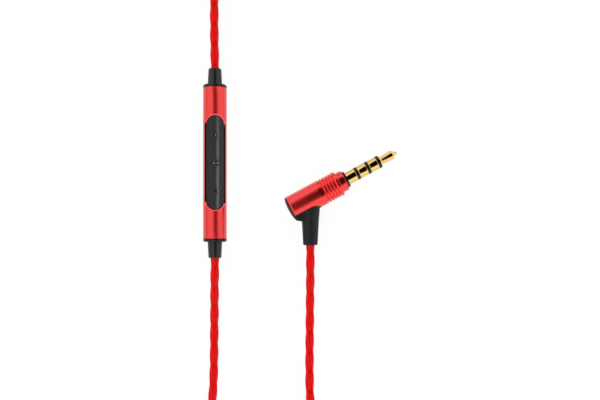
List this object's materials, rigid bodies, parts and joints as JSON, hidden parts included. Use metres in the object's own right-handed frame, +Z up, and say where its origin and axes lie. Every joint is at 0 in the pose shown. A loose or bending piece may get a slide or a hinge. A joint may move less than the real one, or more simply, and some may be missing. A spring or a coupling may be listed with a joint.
{
  "type": "wired earphones",
  "caption": "In-ear earphones on a twisted red cord, with a tube-shaped in-line key remote, a splitter with a sliding cinch, and an angled headset plug.",
  "frame": {"origin": "on the table, under the middle of the box round the remote, the splitter and the ear pieces", "axes": "+Y along the remote, from the plug's end of the cord towards the ear pieces; +X to the right with the keys up; +Z up out of the keys"},
  "size_m": [0.0556, 0.2072, 0.012],
  "materials": {
    "red_anodised": "red anodised aluminium, finely turned, satin to glossy",
    "black_gloss": "glossy black moulded plastic",
    "black_soft": "satin black soft moulding",
    "key_black": "satin black key strip with raised symbols",
    "gold": "bright gold plating",
    "cord_red": "glossy translucent red, twisted strands",
    "board_green": "solder mask",
    "inner_plastic": "matt moulded plastic",
    "steel": "plain steel",
    "microphone_can": "pressed metal can",
    "gasket_rubber": "soft foam rubber",
    "film": "thin pressed film",
    "silicone": "smooth dark silicone"
  },
  "bodies": {
    "earphones": {"remote_tube": "red_anodised", "remote_chassis": "inner_plastic", "upper_end_cap": "black_gloss", "lower_end_cap": "black_gloss", "upper_boot": "black_soft", "lower_boot": "black_soft", "upper_ferrule": "steel", "lower_ferrule": "steel", "circuit_board": "board_green", "key_switches": "steel", "control_chip": "inner_plastic", "microphone": "microphone_can", "microphone_gasket": "gasket_rubber", "plug_shell": "red_anodised", "plug_boot": "black_soft", "plug_core": "black_gloss", "jack_sleeve": "gold", "jack_rear_ring": "gold", "jack_front_ring": "gold", "jack_tip": "gold", "rear_insulator": "black_gloss", "middle_insulator": "black_gloss", "front_insulator": "black_gloss", "upper_cord": "cord_red", "remote_cord": "cord_red", "cord_coil": "cord_red", "plug_cord": "cord_red", "splitter_shell": "red_anodised", "splitter_cord_cap": "black_soft", "splitter_lead_cap": "black_gloss", "left_lead": "cord_red", "left_coil": "cord_red", "left_lead_end": "cord_red", "right_lead": "cord_red", "right_coil": "cord_red", "right_lead_end": "cord_red", "left_shell": "red_anodised", "left_ring": "black_gloss", "left_front": "black_gloss", "left_driver": "steel", "left_diaphragm": "film", "left_mesh": "steel", "left_boot": "black_soft", "right_shell": "red_anodised", "right_ring": "black_gloss", "right_front": "black_gloss", "right_driver": "steel", "right_diaphragm": "film", "right_mesh": "steel", "right_boot": "black_soft"},
    "key_up": {"key_up": "key_black"},
    "key_play": {"key_play": "key_black"},
    "key_down": {"key_down": "key_black"},
    "cinch": {"cinch": "black_soft"},
    "left_tip": {"left_tip": "silicone"},
    "right_tip": {"right_tip": "silicone"}
  },
  "joints": [
    {"name": "key_up_press", "type": "slide", "parent": "earphones", "child": "key_up", "axis": [-0.1392, 0, -0.9903], "range_m": [0, 0.00025], "stiffness_N_per_m": 600},
    {"name": "key_play_press", "type": "slide", "parent": "earphones", "child": "key_play", "axis": [-0.1392, 0, -0.9903], "range_m": [0, 0.00025], "stiffness_N_per_m": 600},
    {"name": "key_down_press", "type": "slide", "parent": "earphones", "child": "key_down", "axis": [-0.1392, 0, -0.9903], "range_m": [0, 0.00025], "stiffness_N_per_m": 600},
    {"name": "cinch_slide", "type": "slide", "parent": "earphones", "child": "cinch", "axis": [0, 1, 0], "range_m": [0, 0.0065]},
    {"name": "left_tip_pull", "type": "slide", "parent": "earphones", "child": "left_tip", "axis": [-1, 0, 0], "range_m": [0, 0.004]},
    {"name": "right_tip_pull", "type": "slide", "parent": "earphones", "child": "right_tip", "axis": [1, 0, 0], "range_m": [0, 0.004]}
  ]
}
